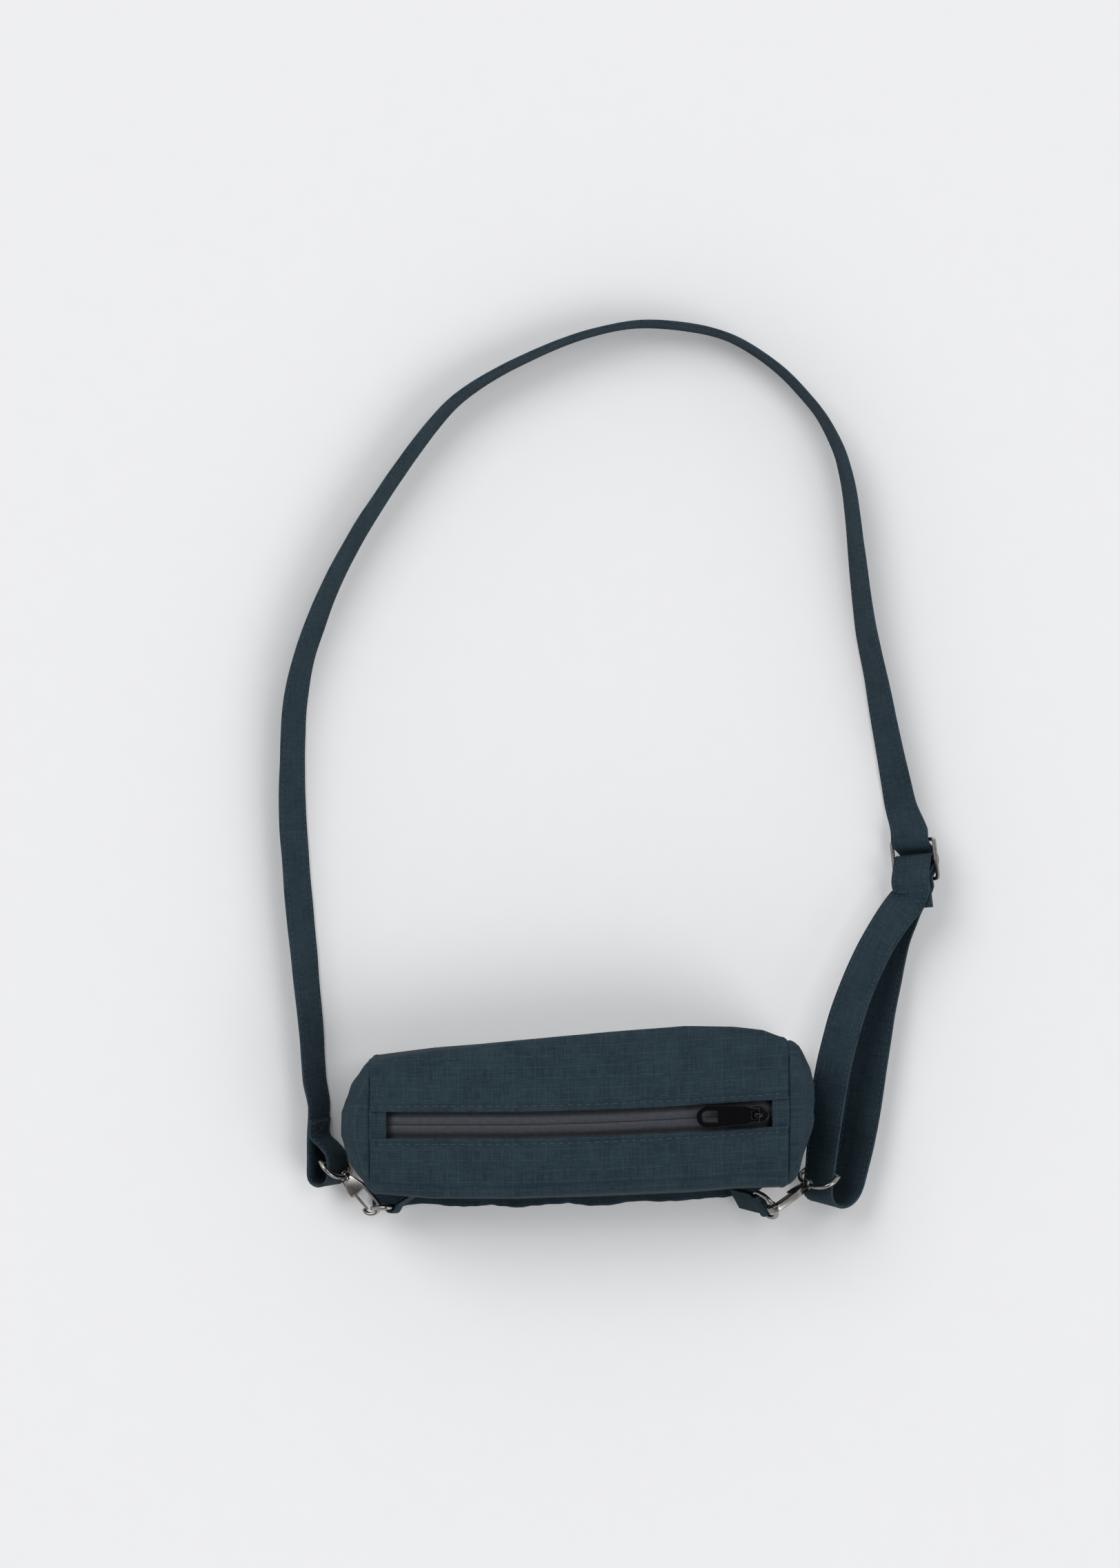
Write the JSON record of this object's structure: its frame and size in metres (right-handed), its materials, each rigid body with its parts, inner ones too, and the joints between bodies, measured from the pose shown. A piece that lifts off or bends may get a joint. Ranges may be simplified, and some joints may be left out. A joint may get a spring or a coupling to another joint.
{
  "type": "bum bag",
  "caption": "Small boxy ripstop bum bag with a long water repellent zip, lying on its back with its adjustable strap laid in an arch and clipped at both ends by swivel hooks",
  "frame": {"origin": "middle of the bag's flat back panel, on the surface it lies on", "axes": "X along the zip towards the hand that would pull it open last, Y up the picture towards the strap's arch, Z out of the bag's front face"},
  "size_m": [0.3808, 0.517, 0.0773],
  "materials": {
    "ripstop": "matt coated nylon ripstop with a small square grid",
    "zip_tape": "smooth coated zip tape",
    "enamel": "glossy black enamel",
    "nickel": "polished dark nickel plate"
  },
  "bodies": {
    "bag": {"bag_shell": "ripstop", "zip_tape_upper": "zip_tape", "zip_tape_lower": "zip_tape", "zip_end_left": "ripstop", "zip_end_right": "ripstop", "zip_slider": "enamel", "strap": "ripstop", "strap_slider": "nickel", "hook_eye_left": "nickel", "hook_eye_right": "nickel", "hook_body_left": "nickel", "hook_body_right": "nickel", "d_ring_left": "nickel", "d_ring_right": "nickel", "ring_tab_left": "ripstop", "ring_tab_right": "ripstop"},
    "puller": {"zip_puller": "enamel"},
    "gate_left": {"hook_gate_left": "nickel"},
    "gate_right": {"hook_gate_right": "nickel"}
  },
  "joints": [
    {"name": "puller_swing", "type": "hinge", "parent": "bag", "child": "puller", "pos_m": [0.101, 0.00875, 0.07429], "axis": [-0.0349, 0.9994, 0], "range_deg": [0, 150]},
    {"name": "gate_left_open", "type": "hinge", "parent": "bag", "child": "gate_left", "pos_m": [-0.12982, -0.03992, 0.02012], "axis": [-0.1982, 0.1004, 0.975], "range_deg": [0, 25], "stiffness_Nm_per_rad": 0.002, "springref_deg": -17.19},
    {"name": "gate_right_open", "type": "hinge", "parent": "bag", "child": "gate_right", "pos_m": [0.12227, -0.03984, 0.0277], "axis": [-0.4757, 0.859, 0.1893], "range_deg": [0, 25], "stiffness_Nm_per_rad": 0.002, "springref_deg": -17.19}
  ]
}
